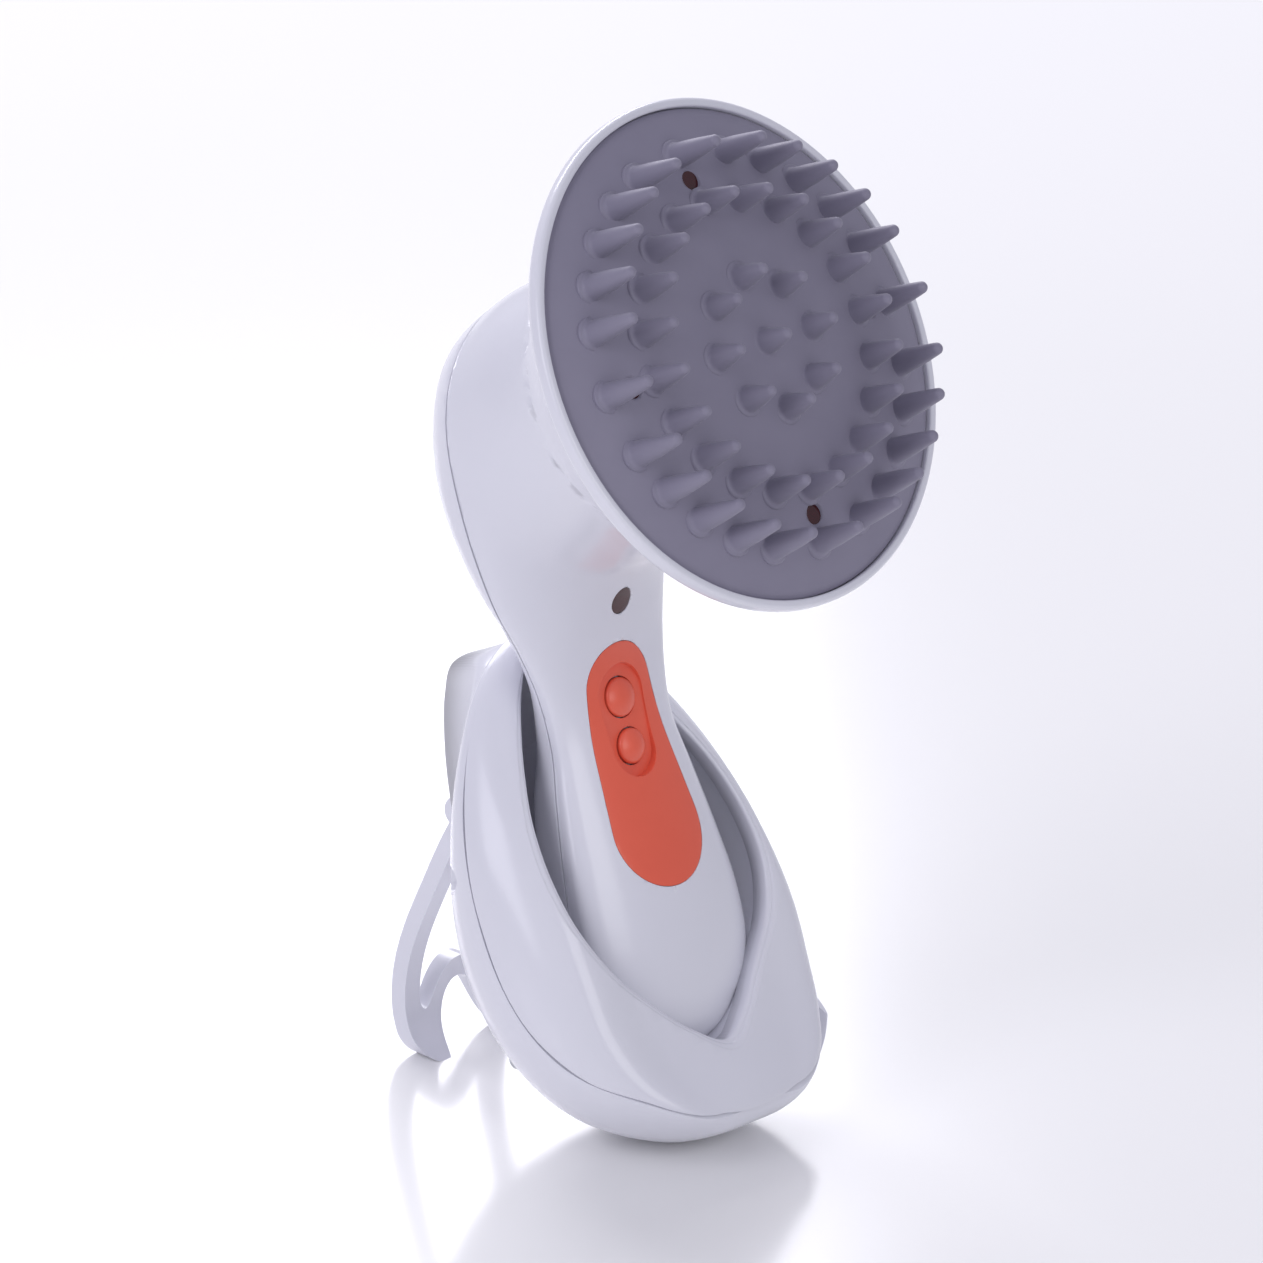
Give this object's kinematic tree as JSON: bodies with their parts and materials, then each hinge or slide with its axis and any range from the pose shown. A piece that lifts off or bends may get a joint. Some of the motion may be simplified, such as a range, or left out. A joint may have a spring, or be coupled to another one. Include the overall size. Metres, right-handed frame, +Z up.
{
  "type": "scalp massager",
  "caption": "Cordless scalp massager with a domed soft pad of tapered nubs and a control panel on its curved handle, standing in a boat-shaped charging cradle with a bent loop kickstand.",
  "frame": {"origin": "on the ground under the middle of the bounding box", "axes": "+Z up, the massage pad faces -Y, X across the plane of symmetry"},
  "size_m": [0.104, 0.1046, 0.2123],
  "materials": {
    "white_gloss": "smooth gloss",
    "pad_silicone": "satin silicone",
    "coral_gloss": "smooth gloss",
    "dark_lens": "tinted gloss",
    "black_plastic": "fine grain",
    "grey_plastic": "fine grain",
    "circuit_board": "solder mask",
    "led_clear": "clear epoxy",
    "steel": "bright",
    "motor_can": "zinc plated",
    "tungsten": "machined",
    "contact_brass": "gold plated",
    "cell_sleeve": "shrink sleeve"
  },
  "bodies": {
    "cradle": {"cradle_front": "white_gloss", "cradle_back": "white_gloss", "cradle_screws": "steel", "charge_pins": "contact_brass", "charge_board": "circuit_board", "power_socket": "black_plastic", "hinge_pins": "steel"},
    "massager": {"front_housing": "white_gloss", "rear_cover": "white_gloss", "massage_pad": "pad_silicone", "pad_carrier": "grey_plastic", "carrier_screws": "steel", "lamp_lenses": "dark_lens", "lamp_leds": "led_clear", "lamp_board": "circuit_board", "motor": "motor_can", "motor_bracket": "black_plastic", "bracket_screws": "steel", "control_panel": "coral_gloss", "indicator_window": "dark_lens", "indicator_led": "led_clear", "control_board": "circuit_board", "board_screws": "steel", "tact_switches": "black_plastic", "battery_cell": "cell_sleeve", "battery_tray": "black_plastic", "battery_clips": "steel", "charge_contacts": "contact_brass", "housing_screws": "steel"},
    "power_button": {"power_button": "coral_gloss"},
    "mode_button": {"mode_button": "coral_gloss"},
    "rotor": {"motor_shaft": "steel", "eccentric_weight": "tungsten"},
    "kickstand": {"kickstand": "white_gloss"}
  },
  "joints": [
    {"name": "massager_lift", "type": "slide", "parent": "cradle", "child": "massager", "axis": [0, -0.0756, 0.9971], "range_m": [0, 0.075]},
    {"name": "power_press", "type": "slide", "parent": "massager", "child": "power_button", "axis": [0, 0.9367, -0.3502], "range_m": [0, 0.0006], "stiffness_N_per_m": 500, "springref_m": -0.0015},
    {"name": "mode_press", "type": "slide", "parent": "massager", "child": "mode_button", "axis": [0, 0.9367, -0.3502], "range_m": [0, 0.0006], "stiffness_N_per_m": 500, "springref_m": -0.0015},
    {"name": "motor_spin", "type": "hinge", "parent": "massager", "child": "rotor", "pos_m": [0, -0.01775, 0.168], "axis": [0, -0.8499, 0.527], "continuous": true},
    {"name": "kickstand_fold", "type": "hinge", "parent": "cradle", "child": "kickstand", "pos_m": [0, 0.03339, 0.0592], "axis": [1, 0, 0], "range_deg": [-20, 0]}
  ]
}
